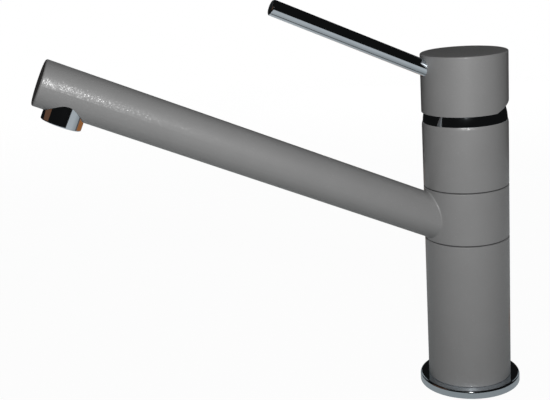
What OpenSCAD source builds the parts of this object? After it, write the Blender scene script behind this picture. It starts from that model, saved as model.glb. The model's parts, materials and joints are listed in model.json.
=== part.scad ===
// Single-lever kitchen mixer tap with a straight rising spout, in millimetres.
// The origin is the centre of the base ring's underside, +Z is up and the spout points to -Y.

/* [Column] */
// Diameter of the column
column_d = 44; // [43.5:0.5:48]
// Height of the lower body above the base ring
lower_body_h = 78; // [70:1:110]
// Wall of the lower body
lower_body_wall = 2.5; // [2:0.1:2.8]
// Height of the swivelling collar
collar_h = 27.4; // [27.2:0.1:32]
// Height of the upper body
upper_body_h = 33.5; // [33:0.5:40]
// Height of the dark joint between two sleeves
seam_h = 0.6; // [0.5:0.05:0.8]
// Radius of the sleeves' soft edges
sleeve_edge_r = 0.3; // [0.1:0.05:0.5]

/* [Base] */
// Height of the chrome base ring
base_ring_h = 4.2; // [3.5:0.1:6]
// How far the base ring stands out past the column
base_rim_w = 4.7; // [3.5:0.1:7]
// Radius of the base ring's upper outer edge
base_edge_r = 1.2; // [0.4:0.1:2]
// Width of the gasket under the base ring
gasket_w = 3; // [2:0.5:3.5]
// Thickness of the gasket
gasket_t = 1.5; // [1:0.1:2]
// Height of the ring nut that holds the lower body
foot_nut_h = 6; // [4:0.5:8]
// Gap between the foot's parts and the deck
foot_gap = 0.6; // [0.4:0.1:1]

/* [Core] */
// Diameter of the core where the collar turns on it
spigot_d = 34; // [33:0.5:35]
// Diameter of the core below the collar
shank_d = 32; // [31:0.5:32.5]
// Wall of the core round the cartridge
housing_wall = 1.35; // [1.2:0.05:1.5]
// Step that carries the upper body
shoulder_w = 1.2; // [1:0.1:1.4]
// Height of that step
shoulder_h = 5.2; // [4:0.1:6]
// Depth of the water channel round the core
channel_depth = 2.8; // [2:0.1:3.2]
// Height of the water channel round the core
channel_h = 10.5; // [9:0.5:11]
// Depth that the inner ledges of the lower body take
ledge_h = 4; // [3:0.5:6]

/* [Inlets] */
// Tapped diameter of the hose inlets
inlet_d = 9; // [8.6:0.1:9.2]
// Depth of the hose inlets
inlet_depth = 14; // [10:1:20]
// Distance of each hose inlet from the column's axis, sideways
inlet_x = 7.2; // [7:0.1:7.5]
// Distance of the hose inlets from the column's axis, towards the spout
inlet_y = 3.6; // [3.2:0.1:4]
// Tapped diameter of the fixing stud's hole
stud_d = 6.8; // [5:0.1:7]
// Depth of the fixing stud's hole
stud_depth = 18; // [12:1:25]
// Distance of the fixing stud from the column's axis, to the rear
stud_y = 10; // [9:0.1:10.5]
// Width of the spanner slots in the ring nut
foot_slot_w = 3; // [2:0.5:4]
// Depth of the spanner slots in the ring nut
foot_slot_depth = 1.5; // [1:0.1:2.5]

/* [Water ways] */
// Diameter of the hot and cold water ways
way_d = 5.4; // [4.5:0.1:5.8]
// Diameter of the mixed water way
mixed_d = 6.4; // [5.5:0.1:7]
// Distance of the mixed water way from the column's axis, to the rear
mixed_y = 7; // [6.6:0.1:7.2]

/* [Swivel] */
// Thickness of the slip rings round the core
slip_wall = 1.9; // [1.5:0.1:2.1]
// Depth of the slip rings in the collar
slip_h = 3.2; // [2.5:0.1:3.6]
// Thickness of the spout's O-rings
o_ring_t = 2.4; // [2:0.1:2.6]
// Distance of the O-rings from the collar's ends
o_ring_inset = 5.4; // [5.2:0.1:5.6]
// How far the slip rings' flanges lie inside the column's surface
slip_recess = 0.4; // [0.2:0.1:1]

/* [Spout] */
// Diameter of the spout tube
spout_d = 22.4; // [21.5:0.1:22.6]
// Wall of the spout tube
spout_wall = 1; // [0.8:0.1:1.5]
// Length of the spout along its axis, from the column's axis
spout_len = 232.3; // [180:0.1:300]
// Rise of the spout above level, in degrees
spout_angle = 25.4; // [20:0.1:26]
// Depth of the tube's seat in the collar
socket_depth = 1.4; // [1:0.1:1.6]
// Thickness of the spout's end cap
end_cap_t = 2; // [1.5:0.1:3]
// Radius of the end cap's edge
end_edge_r = 1; // [0.5:0.1:1.4]
// Diameter of the water window in the collar
window_d = 9; // [7:0.5:10]

/* [Outlet] */
// Diameter of the aerator
aerator_d = 19.2; // [18:0.1:19.4]
// Wall of the aerator's chrome housing
aerator_wall = 1.3; // [1:0.1:1.5]
// Distance of the aerator's axis from the spout's end
aerator_inset = 15.5; // [13:0.1:22]
// How far the aerator's rim lies from the spout's axis
aerator_reach = 15.4; // [13:0.1:18]
// Height of the aerator's threaded neck
aerator_neck_h = 3.6; // [3:0.1:4]
// Height of the aerator's rim lip
aerator_lip_h = 1.2; // [0.8:0.1:1.6]
// Width of the aerator's rim lip
aerator_lip_w = 0.8; // [0.5:0.1:1]
// Radius of the aerator's outer edge
aerator_edge_r = 0.5; // [0.2:0.1:0.6]
// Step of the aerator's thread inside its outer surface
aerator_thread_step = 0.6; // [0.4:0.1:0.8]
// Width of the aerator's washer
washer_w = 2; // [1.5:0.1:2.5]
// Thickness of the aerator's washer
washer_t = 2; // [1.5:0.1:2.5]
// Thickness of the aerator's screen
screen_t = 0.5; // [0.4:0.1:0.8]
// Diameter of the jet regulator's holes
jet_d = 1.8; // [1.2:0.1:2]
// Distance between the jet regulator's holes
jet_pitch = 3; // [2.6:0.1:3.2]
// Diameter of the screen's holes
screen_hole_d = 1.6; // [1.2:0.1:1.8]
// Radius of the circle of six holes in the screen
screen_inner_r = 2.2; // [2:0.1:2.4]
// Radius of the circle of twelve holes in the screen
screen_outer_r = 4.6; // [4.4:0.1:5]

/* [Cartridge] */
// Diameter of the cartridge
cartridge_d = 35; // [34.5:0.1:35]
// Height of the lever's pivot above the cartridge's seat
pivot_h = 26.3; // [26.3:0.1:28]
// Thickness of the cartridge's base
cartridge_base_h = 4; // [3.5:0.1:4.2]
// Wall of the cartridge's shell
shell_wall = 2.3; // [2:0.1:2.4]
// Thickness of each ceramic disc
disc_t = 3.5; // [3:0.1:3.6]
// Diameter of the moving ceramic disc
moving_disc_d = 22; // [21:0.1:22.2]
// Travel of the moving disc at full flow
disc_travel = 4; // [3.5:0.1:4.1]
// Diameter of the rotor's neck
rotor_neck_d = 22; // [21:0.5:23]
// Diameter of the cartridge's neck
shell_neck_d = 29.6; // [29:0.1:30]
// Thickness of the port seals
seal_t = 1.2; // [1:0.1:1.4]
// Width of the port seals
seal_w = 1.1; // [0.9:0.1:1.2]
// Height of the brass nut's hexagon
nut_hex_h = 2.6; // [2:0.1:3]
// Width of the brass nut across its flats
nut_flats = 32; // [31:0.5:32]
// Diameter of the cartridge's locating pins
locating_pin_d = 2.4; // [2:0.1:2.6]
// Length of the cartridge's locating pins
locating_pin_h = 2; // [1.5:0.1:2.5]
// Distance of each locating pin from the column's axis, sideways
locating_pin_x = 10.8; // [10.6:0.1:11]
// Distance of the locating pins from the column's axis, to the rear
locating_pin_y = 8; // [7.8:0.1:8.2]

/* [Dome] */
// How far the dome lies inside the column's surface
dome_step = 0.5; // [0.3:0.05:0.6]
// Wall of the chrome dome
dome_wall = 1.7; // [1.2:0.1:1.8]
// Height of the dome's threaded skirt
dome_skirt_h = 3.2; // [2.8:0.1:3.4]
// Diameter of the dome's opening
dome_opening_d = 31.6; // [31:0.2:33]

/* [Lever] */
// Diameter of the lever's cap
cap_d = 44.2; // [44:0.1:45]
// Height of the lever's cap
cap_h = 29.7; // [29.5:0.1:34]
// Height of the dome that shows under the cap
dome_show = 5.3; // [5:0.1:6]
// Thickness of the cap's top
cap_top_t = 3.4; // [3:0.1:3.6]
// Gap between the cap and the dome
cap_gap = 0.3; // [0.25:0.05:0.4]
// Wall of the cap above its rim
cap_wall = 3.6; // [3:0.1:4]
// Height of the cap's thin rim
cap_rim_h = 11.4; // [11:0.1:12]
// Radius of the cap's upper edge
cap_edge_r = 0.6; // [0.3:0.1:1]
// Slope of the cut behind the cap, in degrees
cap_cut_angle = 21.5; // [21:0.5:24]
// Distance of that cut from the column's axis
cap_cut_y = 7.9; // [7:0.1:8.5]
// Diameter of the lever rod
lever_d = 8; // [7:0.1:8.4]
// Length of the lever along its axis, from the column's axis
lever_len = 109.4; // [80:0.1:140]
// Rise of the lever above level, in degrees
lever_angle = 25.5; // [24:0.1:26]
// Height of the lever's axis above the cap's rim, at the column's axis
lever_root_h = 13.1; // [12.8:0.1:13.6]
// Diameter of the lever's thread
lever_thread_d = 6; // [5:0.1:6.2]
// Length of the lever's thread
lever_thread_len = 8; // [6:0.5:9]
// Radius of the lever rod's edge
lever_edge_r = 0.8; // [0.3:0.1:1.2]
// Width of the square lever stem
stem_w = 8; // [7:0.1:8]
// Diameter of the stem's pivot pin
pivot_pin_d = 3; // [2.5:0.1:3.2]
// Diameter of the stem's ball
ball_d = 4.8; // [4.4:0.1:5]
// Diameter of the neck above that ball
ball_neck_d = 3; // [2.6:0.1:3.4]
// Distance of the ball below the pivot
ball_drop = 9.5; // [9.2:0.1:9.6]
// Diameter of the grub screw
grub_d = 5; // [4:0.5:5]
// Length of the grub screw
grub_len = 8; // [6:0.5:9]
// Width of the grub screw's hexagon socket across its flats
grub_socket_flats = 2.5; // [2:0.1:2.6]
// Depth of that socket
grub_socket_depth = 3; // [2:0.1:4]
// Height of the grub screw above the lever's pivot
grub_h = 25.2; // [25:0.1:25.6]
// Diameter of the index plug
plug_d = 6.4; // [5.6:0.1:6.8]
// Depth of the index plug
plug_len = 3; // [2.5:0.1:3.4]

/* [Fits] */
// Gap round a part that is fixed in its seat
fit_gap = 0.05; // [0.03:0.01:0.06]
// Radial gap round a part that turns in its seat
turn_gap = 0.08; // [0.06:0.01:0.1]
// Gap at the ends of a part that turns
end_gap = 0.1; // [0.08:0.01:0.15]
// Gap round a part that passes through freely
free_gap = 0.3; // [0.25:0.05:0.35]

/* [Hidden] */
$fn = 96;

// Overlap of cutting shapes past the faces that they cut
cut = 1;

// Radii of the column and its base
column_r = column_d / 2;
base_ring_r = column_r + base_rim_w;
lower_bore_r = column_r - lower_body_wall;

// Heights of the column's joints
lower_top_z = base_ring_h + lower_body_h;
collar_z = lower_top_z + seam_h;
collar_top_z = collar_z + collar_h;
upper_z = collar_top_z + seam_h;
upper_top_z = upper_z + upper_body_h;

// The core
spigot_r = spigot_d / 2;
shank_r = shank_d / 2;
cartridge_r = cartridge_d / 2;
cavity_r = cartridge_r + 3 * fit_gap;
housing_r = cavity_r + housing_wall;
shoulder_r = housing_r + shoulder_w;
shoulder_z = upper_z + shoulder_h;
pivot_z = upper_top_z;
seat_z = pivot_z - pivot_h;
housing_top_z = pivot_z + dome_skirt_h;
step_z = lower_top_z - ledge_h;
channel_z = collar_z + collar_h / 2 - channel_h / 2;
core_z = foot_gap;

// The swivel
collar_bore_r = spigot_r + free_gap;
slip_r = spigot_r + slip_wall;
slip_flange_r = column_r - slip_recess;
slip_flange_t = seam_h - 2 * end_gap;
o_ring_r = collar_bore_r - fit_gap - o_ring_t / 2;
o_groove_h = o_ring_t + 6 * fit_gap;
o_groove_r = o_ring_r - o_ring_t / 2 - fit_gap;

// The spout
spout_r = spout_d / 2;
spout_bore_r = spout_r - spout_wall;
spout_root_z = collar_z + collar_h / 2 - column_r * tan(spout_angle);
tube_seat_r = column_r - socket_depth;
tube_end = spout_len - end_cap_t;

// The outlet, measured from the spout's axis
socket_wall = 0.75;
socket_top = -1.5;
socket_h = 4;
aerator_r = aerator_d / 2;
aerator_bore_r = aerator_r - aerator_wall;
neck_r = aerator_r - aerator_thread_step;
socket_r = neck_r + fit_gap + socket_wall;
shoulder_at = socket_top + socket_h + end_gap;
neck_top = shoulder_at - aerator_neck_h;
washer_top = neck_top + free_gap;
insert_r = aerator_bore_r - fit_gap;
screen_top = washer_top + washer_t;
insert_top = screen_top + screen_t;
lip_at = aerator_reach - aerator_lip_h;

// The cartridge's stack: the carrier with its hub, and the rotor round them
carrier_flange_t = 2.6;
carrier_hub_w = 12;
carrier_hub_l = 10;
carrier_hub_h = 7.5;
carrier_step = 0.4;
rotor_shoulder_drop = 4.3;
rotor_rise = 6.4;
shell_lip_t = 1.2;
shell_drop = 0.8;
lift_angle = 25;
base_top_z = seat_z + cartridge_base_h;
fixed_top_z = base_top_z + disc_t;
moving_z = fixed_top_z + end_gap / 3;
moving_top_z = moving_z + disc_t;
carrier_top_z = moving_top_z + carrier_hub_h;
rotor_z = moving_top_z + carrier_flange_t + 2 * end_gap;
rotor_shoulder_z = pivot_z - rotor_shoulder_drop;
rotor_top_z = pivot_z + rotor_rise;
shell_inner_r = cartridge_r - shell_wall;
shell_lip_z = rotor_shoulder_z + 2 * end_gap;
shell_shoulder_z = shell_lip_z + shell_lip_t;
shell_top_z = pivot_z - shell_drop;
rotor_r = shell_inner_r - turn_gap;
rotor_neck_r = rotor_neck_d / 2;
channel_top_z = carrier_top_z + 2 * free_gap;
stem_slot_w = stem_w + 4 * end_gap;
stem_slot_l = 2 * (stem_w / 2 / cos(lift_angle) + rotor_rise * tan(lift_angle) + 2 * free_gap);

// The dome and the cap, which tilts about the dome's centre
dome_r = column_r - dome_step;
cap_r = cap_d / 2;
cap_z = upper_top_z + dome_show;
cap_top_z = cap_z + cap_h;
cap_rim_r = sqrt(pow(dome_r + cap_gap, 2) - pow(dome_show, 2));
cap_inner_r = cap_r - cap_wall;
boss_wall = 2.5;
boss_rise = 4.8;
stem_square_drop = 5.3;
plug_boss_wall = 1;
boss_r = stem_w / 2 + boss_wall;
boss_z = rotor_top_z + boss_rise;
stem_top_z = pivot_z + grub_h + grub_d / 2 + plug_boss_wall;
stem_bottom_z = pivot_z - stem_square_drop;
ball_z = pivot_z - ball_drop;
lever_root_z = cap_z + lever_root_h;
lever_start = 16;
lever_tail = lever_start - lever_thread_len;
grub_z = pivot_z + grub_h;
grub_y = stem_w / 2 + fit_gap;

paint = [0.51, 0.51, 0.51];
chrome = [0.80, 0.81, 0.83];
brass = [0.80, 0.66, 0.36];
rubber = [0.12, 0.12, 0.12];
white_plastic = [0.88, 0.88, 0.85];
grey_plastic = [0.45, 0.46, 0.48];
ceramic = [0.93, 0.91, 0.86];
steel = [0.62, 0.62, 0.63];

// A plain ring standing on the level of its child's origin
module ring(r_out, r_in, h) {
    difference() {
        cylinder(r = r_out, h = h);
        translate([0, 0, -cut]) cylinder(r = r_in, h = h + 2 * cut);
    }
}

// The section of a round bar whose lower and upper outer edges are rounded
module bar_section(r, h, low_r, high_r) {
    square([r - max(low_r, high_r), h]);
    translate([0, low_r]) square([r, h - low_r - high_r]);
    if (low_r > 0) {
        square([r - low_r, h / 2]);
        translate([r - low_r, low_r]) circle(r = low_r);
    }
    if (high_r > 0) {
        translate([0, h / 2]) square([r - high_r, h / 2]);
        translate([r - high_r, h - high_r]) circle(r = high_r);
    }
}

// A round bar with rounded edges
module bar(r, h, low_r, high_r) {
    rotate_extrude() bar_section(r, h, low_r, high_r);
}

// The hot and cold inlets' places, mirrored about the spout
module at_inlets() {
    for (side = [-1, 1]) translate([side * inlet_x, -inlet_y, 0]) children();
}

// All three water ways' places, with each way's diameter in $way
module at_ways() {
    at_inlets() {
        $way = way_d;
        children();
    }
    translate([0, mixed_y, 0]) {
        $way = mixed_d;
        children();
    }
}

// Places of the cartridge's two locating pins
module at_locating_pins() {
    for (side = [-1, 1]) translate([side * locating_pin_x, locating_pin_y, 0]) children();
}

// Along the spout: the child's +Z runs out along it and its -Y faces down
module on_spout() {
    translate([0, 0, spout_root_z]) rotate([90 - spout_angle, 0, 0]) children();
}

// At the outlet: the child's +Z points out of the aerator
module at_outlet() {
    on_spout() translate([0, 0, spout_len - aerator_inset]) rotate([90, 0, 0]) children();
}

// Along the lever: the child's +Z runs out along the rod
module on_lever() {
    translate([0, 0, lever_root_z]) rotate([90 - lever_angle, 0, 0]) children();
}

// At the grub screw: the child's +Z points to the rear
module on_grub() {
    translate([0, 0, grub_z]) rotate([-90, 0, 0]) children();
}

module base_ring() {
    gasket_r = (lower_bore_r + base_ring_r) / 2;
    color(chrome) difference() {
        bar(base_ring_r, base_ring_h, 0, base_edge_r);
        translate([0, 0, -cut]) cylinder(r = lower_bore_r, h = base_ring_h + 2 * cut);
        translate([0, 0, -cut]) ring(gasket_r + gasket_w / 2 + fit_gap,
            gasket_r - gasket_w / 2 - fit_gap, cut + gasket_t);
    }
}

module base_gasket() {
    gasket_r = (lower_bore_r + base_ring_r) / 2;
    color(rubber) ring(gasket_r + gasket_w / 2, gasket_r - gasket_w / 2, gasket_t);
}

// The painted lower sleeve, with a ledge at each end that the core and its nut clamp
module lower_body() {
    ledge_r = shank_r + fit_gap;
    nut_ledge_z = foot_gap + foot_nut_h;
    color(paint) difference() {
        translate([0, 0, base_ring_h])
            bar(column_r, lower_body_h, sleeve_edge_r, sleeve_edge_r);
        translate([0, 0, base_ring_h - cut]) cylinder(r = ledge_r, h = lower_body_h + 2 * cut);
        translate([0, 0, base_ring_h - cut])
            cylinder(r = lower_bore_r, h = nut_ledge_z - base_ring_h + cut);
        translate([0, 0, nut_ledge_z + ledge_h])
            cylinder(r = lower_bore_r, h = step_z - ledge_h - nut_ledge_z - ledge_h);
        translate([0, 0, step_z]) cylinder(r = spigot_r + fit_gap, h = ledge_h + cut);
    }
}

// The slotted ring nut that pulls the lower body up against the core's step
module foot_nut() {
    nut_r = lower_bore_r - free_gap;
    color(brass) translate([0, 0, foot_gap]) difference() {
        ring(nut_r, shank_r + fit_gap, foot_nut_h);
        for (turn = [0, 90]) rotate([0, 0, turn + 45])
            translate([-nut_r - cut, -foot_slot_w / 2, -cut])
                cube([2 * (nut_r + cut), foot_slot_w, cut + foot_slot_depth]);
    }
}

// The brass casting that carries the water from the inlets to the cartridge and the collar
module valve_core() {
    mixed_exit_z = channel_z + channel_h / 2;
    color(brass) difference() {
        union() {
            translate([0, 0, core_z]) cylinder(r = shank_r, h = step_z - core_z);
            translate([0, 0, step_z]) cylinder(r = spigot_r, h = upper_z - step_z);
            translate([0, 0, upper_z]) cylinder(r = shoulder_r, h = shoulder_h);
            translate([0, 0, shoulder_z]) cylinder(r = housing_r, h = housing_top_z - shoulder_z);
        }
        translate([0, 0, seat_z]) cylinder(r = cavity_r, h = housing_top_z - seat_z + cut);
        at_inlets() {
            translate([0, 0, core_z - cut]) cylinder(r = inlet_d / 2, h = inlet_depth + cut);
            translate([0, 0, core_z]) cylinder(r = way_d / 2, h = seat_z - core_z + cut);
        }
        translate([0, mixed_y, mixed_exit_z])
            cylinder(r = mixed_d / 2, h = seat_z - mixed_exit_z + cut);
        translate([0, mixed_y, mixed_exit_z]) rotate([-90, 0, 0])
            cylinder(r = mixed_d / 2, h = spigot_r);
        translate([0, stud_y, core_z - cut]) cylinder(r = stud_d / 2, h = stud_depth + cut);
        translate([0, 0, channel_z])
            ring(spigot_r + cut, spigot_r - channel_depth, channel_h);
        for (z = [collar_z + o_ring_inset, collar_top_z - o_ring_inset])
            translate([0, 0, z - o_groove_h / 2])
                ring(spigot_r + cut, o_groove_r, o_groove_h);
        at_locating_pins() translate([0, 0, seat_z - locating_pin_h - end_gap])
            cylinder(r = locating_pin_d / 2 + fit_gap, h = locating_pin_h + end_gap + cut);
    }
}

// A slip ring: its sleeve fills the collar's end and its flange shows as the dark joint
module slip_ring() {
    ring(slip_r, spigot_r + fit_gap, slip_h + end_gap);
    translate([0, 0, -slip_flange_t]) ring(slip_flange_r, spigot_r + fit_gap, slip_flange_t);
}

module lower_slip_ring() {
    color(rubber) translate([0, 0, collar_z - end_gap]) slip_ring();
}

module upper_slip_ring() {
    color(rubber) translate([0, 0, collar_top_z + end_gap]) mirror([0, 0, 1]) slip_ring();
}

module spout_o_rings() {
    color(rubber) for (z = [collar_z + o_ring_inset, collar_top_z - o_ring_inset])
        translate([0, 0, z]) rotate_extrude() translate([o_ring_r, 0]) circle(d = o_ring_t);
}

// The painted upper sleeve, hung on the core's shoulder
module upper_body() {
    color(paint) difference() {
        translate([0, 0, upper_z]) bar(column_r, upper_body_h, sleeve_edge_r, sleeve_edge_r);
        translate([0, 0, upper_z - cut]) cylinder(r = housing_r + 4 * fit_gap,
            h = upper_body_h + 2 * cut);
        translate([0, 0, upper_z - cut]) cylinder(r = shoulder_r + 4 * fit_gap,
            h = shoulder_h + cut);
    }
}

// The chrome dome that screws onto the core and that the cap tilts over
module dome_ring() {
    inner_r = dome_r - dome_wall;
    color(chrome) translate([0, 0, pivot_z]) difference() {
        sphere(r = dome_r);
        translate([0, 0, -2 * dome_r]) cylinder(r = 2 * dome_r, h = 2 * dome_r);
        translate([0, 0, -cut]) cylinder(r = housing_r + fit_gap, h = dome_skirt_h + cut);
        intersection() {
            sphere(r = inner_r);
            translate([0, 0, dome_skirt_h - fit_gap]) cylinder(r = dome_r, h = dome_r);
        }
        cylinder(r = dome_opening_d / 2, h = 2 * dome_r);
    }
}

// The brass nut that presses the cartridge onto its seat
module cartridge_nut() {
    bore_r = shell_neck_d / 2 + 3 * fit_gap;
    thread_r = cavity_r - fit_gap;
    hex_z = housing_top_z + end_gap;
    color(brass) difference() {
        union() {
            translate([0, 0, shell_shoulder_z])
                cylinder(r = thread_r, h = hex_z - shell_shoulder_z);
            translate([0, 0, hex_z]) cylinder(r = nut_flats / 2 / cos(30), h = nut_hex_h, $fn = 6);
        }
        translate([0, 0, shell_shoulder_z - cut])
            cylinder(r = bore_r, h = hex_z + nut_hex_h - shell_shoulder_z + 2 * cut);
    }
}

// The plastic shell that holds the discs and the rotor
module cartridge_shell() {
    color(white_plastic) difference() {
        union() {
            translate([0, 0, base_top_z]) cylinder(r = cartridge_r, h = shell_shoulder_z - base_top_z);
            translate([0, 0, shell_shoulder_z])
                cylinder(r = shell_neck_d / 2, h = shell_top_z - shell_shoulder_z);
        }
        translate([0, 0, base_top_z - cut])
            cylinder(r = shell_inner_r, h = shell_lip_z - base_top_z + cut);
        translate([0, 0, shell_lip_z])
            cylinder(r = rotor_neck_r + turn_gap, h = shell_top_z - shell_lip_z + cut);
    }
}

// The plastic base with the three ports, their seal grooves and the locating pins
module cartridge_base() {
    color(grey_plastic) {
        translate([0, 0, seat_z]) difference() {
            cylinder(r = cartridge_r, h = cartridge_base_h);
            at_ways() {
                translate([0, 0, -cut]) cylinder(d = $way, h = cartridge_base_h + 2 * cut);
                translate([0, 0, -cut])
                    cylinder(r = $way / 2 + seal_w + fit_gap, h = cut + seal_t);
            }
        }
        at_locating_pins() translate([0, 0, seat_z - locating_pin_h])
            cylinder(d = locating_pin_d, h = locating_pin_h);
    }
}

module port_seals() {
    color(rubber) translate([0, 0, seat_z]) at_ways() ring($way / 2 + seal_w, $way / 2, seal_t);
}

module fixed_disc() {
    color(ceramic) translate([0, 0, base_top_z]) difference() {
        cylinder(r = shell_inner_r - fit_gap, h = disc_t);
        at_ways() translate([0, 0, -cut]) cylinder(d = $way, h = disc_t + 2 * cut);
    }
}

// The painted collar: it turns on the core and holds the tube
module spout_collar() {
    color(paint) difference() {
        translate([0, 0, collar_z]) bar(column_r, collar_h, sleeve_edge_r, sleeve_edge_r);
        translate([0, 0, collar_z - cut]) cylinder(r = collar_bore_r, h = collar_h + 2 * cut);
        translate([0, 0, collar_z - cut]) cylinder(r = slip_r + turn_gap, h = slip_h + end_gap + cut);
        translate([0, 0, collar_top_z - slip_h - end_gap])
            cylinder(r = slip_r + turn_gap, h = slip_h + end_gap + cut);
        difference() {
            on_spout() cylinder(r = spout_r + fit_gap, h = 3 * column_r);
            cylinder(r = tube_seat_r, h = upper_top_z);
        }
        translate([0, 0, collar_z + collar_h / 2]) rotate([90, 0, 0])
            cylinder(d = window_d, h = column_r);
    }
}

// The painted tube, cut to the round of the collar's seat
module spout_tube() {
    color(paint) difference() {
        on_spout() cylinder(r = spout_r, h = tube_end);
        on_spout() cylinder(r = spout_bore_r, h = tube_end + cut);
        cylinder(r = tube_seat_r, h = upper_top_z);
        at_outlet() translate([0, 0, shoulder_at]) cylinder(r = aerator_r + 4 * fit_gap,
            h = spout_d);
    }
}

module spout_end_cap() {
    color(paint) on_spout() {
        translate([0, 0, tube_end]) bar(spout_r, end_cap_t, 0, end_edge_r);
        translate([0, 0, tube_end - end_cap_t])
            cylinder(r = spout_bore_r - fit_gap, h = end_cap_t);
    }
}

// The threaded ring inside the tube that the aerator screws into
module outlet_socket() {
    color(brass) at_outlet() translate([0, 0, socket_top])
        ring(socket_r, neck_r + fit_gap, socket_h);
}

module aerator_housing() {
    color(chrome) at_outlet() difference() {
        union() {
            translate([0, 0, shoulder_at])
                bar(aerator_r, aerator_reach - shoulder_at, 0, aerator_edge_r);
            translate([0, 0, neck_top]) cylinder(r = neck_r, h = aerator_neck_h);
        }
        translate([0, 0, neck_top - cut])
            cylinder(r = aerator_bore_r, h = lip_at - neck_top + cut);
        cylinder(r = aerator_bore_r - aerator_lip_w, h = aerator_reach + cut);
    }
}

// The plastic jet regulator with its rows of holes
module aerator_insert() {
    rows = floor((insert_r - aerator_lip_w - jet_d / 2) / jet_pitch);
    color(grey_plastic) at_outlet() difference() {
        translate([0, 0, insert_top]) cylinder(r = insert_r, h = lip_at - insert_top);
        for (row = [-rows : rows])
            for (place = [0 : 2 * rows - abs(row)])
                translate([jet_pitch * (place - (2 * rows - abs(row)) / 2),
                    jet_pitch * row * sin(60), insert_top - cut])
                    cylinder(d = jet_d, h = lip_at - insert_top + 2 * cut);
    }
}

module aerator_screen() {
    color(steel) at_outlet() translate([0, 0, screen_top]) difference() {
        cylinder(r = insert_r, h = screen_t);
        for (turn = [0 : 30 : 330]) rotate([0, 0, turn])
            translate([screen_outer_r, 0, -cut]) cylinder(d = screen_hole_d, h = screen_t + 2 * cut);
        for (turn = [0 : 60 : 300]) rotate([0, 0, turn])
            translate([screen_inner_r, 0, -cut]) cylinder(d = screen_hole_d, h = screen_t + 2 * cut);
    }
}

module aerator_washer() {
    color(rubber) at_outlet() translate([0, 0, washer_top]) ring(insert_r, insert_r - washer_w, washer_t);
}

// The plastic rotor: it turns the discs and carries the lever's pivot
module rotor() {
    hub_front = carrier_hub_l / 2 + disc_travel + free_gap;
    color(grey_plastic) difference() {
        union() {
            translate([0, 0, rotor_z]) cylinder(r = rotor_r, h = rotor_shoulder_z - rotor_z);
            translate([0, 0, rotor_z]) cylinder(r = rotor_neck_r, h = rotor_top_z - rotor_z);
        }
        translate([-carrier_hub_w / 2 - end_gap, -hub_front, rotor_z - cut])
            cube([carrier_hub_w + 2 * end_gap, hub_front + carrier_hub_l / 2 + free_gap,
                channel_top_z - rotor_z + cut]);
        translate([-stem_slot_w / 2, -stem_slot_l / 2, rotor_z - cut])
            cube([stem_slot_w, stem_slot_l, rotor_top_z - rotor_z + 2 * cut]);
        translate([0, 0, pivot_z]) rotate([0, 90, 0])
            cylinder(r = pivot_pin_d / 2 + fit_gap, h = rotor_neck_d + 2 * cut, center = true);
    }
}

module pivot_pin() {
    pin_l = rotor_neck_d - 4 * end_gap;
    color(steel) translate([0, 0, pivot_z]) rotate([0, 90, 0])
        cylinder(d = pivot_pin_d, h = pin_l, center = true);
}

// The plastic carrier that the stem's ball pushes to and fro
module disc_carrier() {
    socket_r = ball_d / 2 + end_gap;
    color(white_plastic) difference() {
        union() {
            translate([0, 0, moving_top_z])
                cylinder(r = moving_disc_d / 2 - carrier_step, h = carrier_flange_t);
            translate([-carrier_hub_w / 2, -carrier_hub_l / 2, moving_top_z])
                cube([carrier_hub_w, carrier_hub_l, carrier_top_z - moving_top_z]);
        }
        translate([0, 0, ball_z - ball_d / 2 - free_gap])
            cylinder(r = socket_r, h = carrier_top_z - ball_z + ball_d);
    }
}

// The moving disc: its pocket joins the ports as it slides
module moving_disc() {
    pocket_r = 4.5;
    pocket_x = 3.5;
    pocket_y = 3.3;
    color(ceramic) translate([0, 0, moving_z]) difference() {
        cylinder(d = moving_disc_d, h = disc_t);
        for (side = [-1, 1]) translate([side * pocket_x, pocket_y, -cut])
            cylinder(r = pocket_r, h = cut + disc_t / 2);
        translate([-pocket_x, pocket_y - pocket_r, -cut])
            cube([2 * pocket_x, 2 * pocket_r, cut + disc_t / 2]);
    }
}

// The steel stem: square above, with a ball below the pivot
module lever_stem() {
    color(steel) difference() {
        union() {
            translate([-stem_w / 2, -stem_w / 2, stem_bottom_z])
                cube([stem_w, stem_w, stem_top_z - stem_bottom_z]);
            translate([0, 0, ball_z]) cylinder(d = ball_neck_d, h = stem_bottom_z - ball_z + cut);
            translate([0, 0, ball_z]) sphere(d = ball_d);
        }
        translate([0, 0, pivot_z]) rotate([0, 90, 0])
            cylinder(r = pivot_pin_d / 2 + fit_gap, h = stem_w + 2 * cut, center = true);
    }
}

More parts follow.
